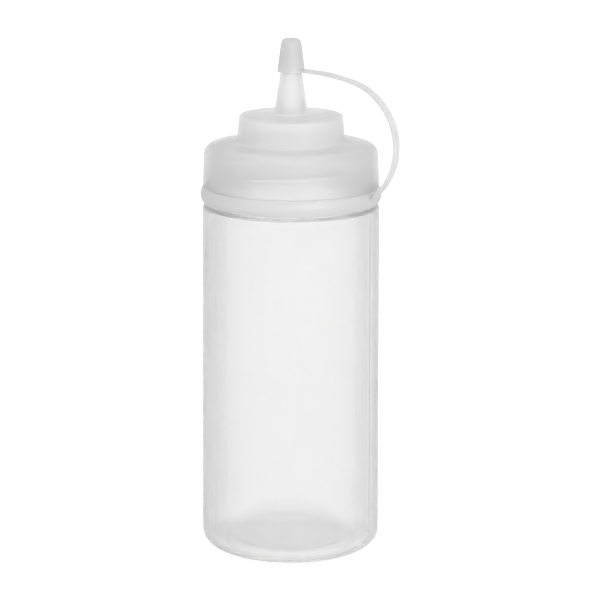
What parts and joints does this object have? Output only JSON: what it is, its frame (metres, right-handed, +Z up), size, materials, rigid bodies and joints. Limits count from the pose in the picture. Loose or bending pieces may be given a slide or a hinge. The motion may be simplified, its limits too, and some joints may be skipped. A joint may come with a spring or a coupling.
{
  "type": "squeeze bottle",
  "caption": "Empty translucent squeeze bottle with a threaded neck, a stepped screw cap with a tapered nozzle, and a tip cap on a strap that hangs from a ring.",
  "frame": {"origin": "middle of the foot, on the surface that the bottle stands on", "axes": "+Z up along the bottle's axis to the tip, +X from the axis towards the strap's outer bend, +Y across the strap"},
  "size_m": [0.0802, 0.07, 0.2],
  "materials": {
    "bottle_plastic": "translucent, satin, blow-moulded natural polyethylene",
    "cap_plastic": "translucent, satin, injection-moulded natural polyethylene, thicker than the bottle",
    "tip_plastic": "translucent, satin, injection-moulded natural polyethylene"
  },
  "bodies": {
    "root": {"bottle": "bottle_plastic", "screw_cap": "cap_plastic", "tip_cap": "tip_plastic"}
  },
  "joints": []
}
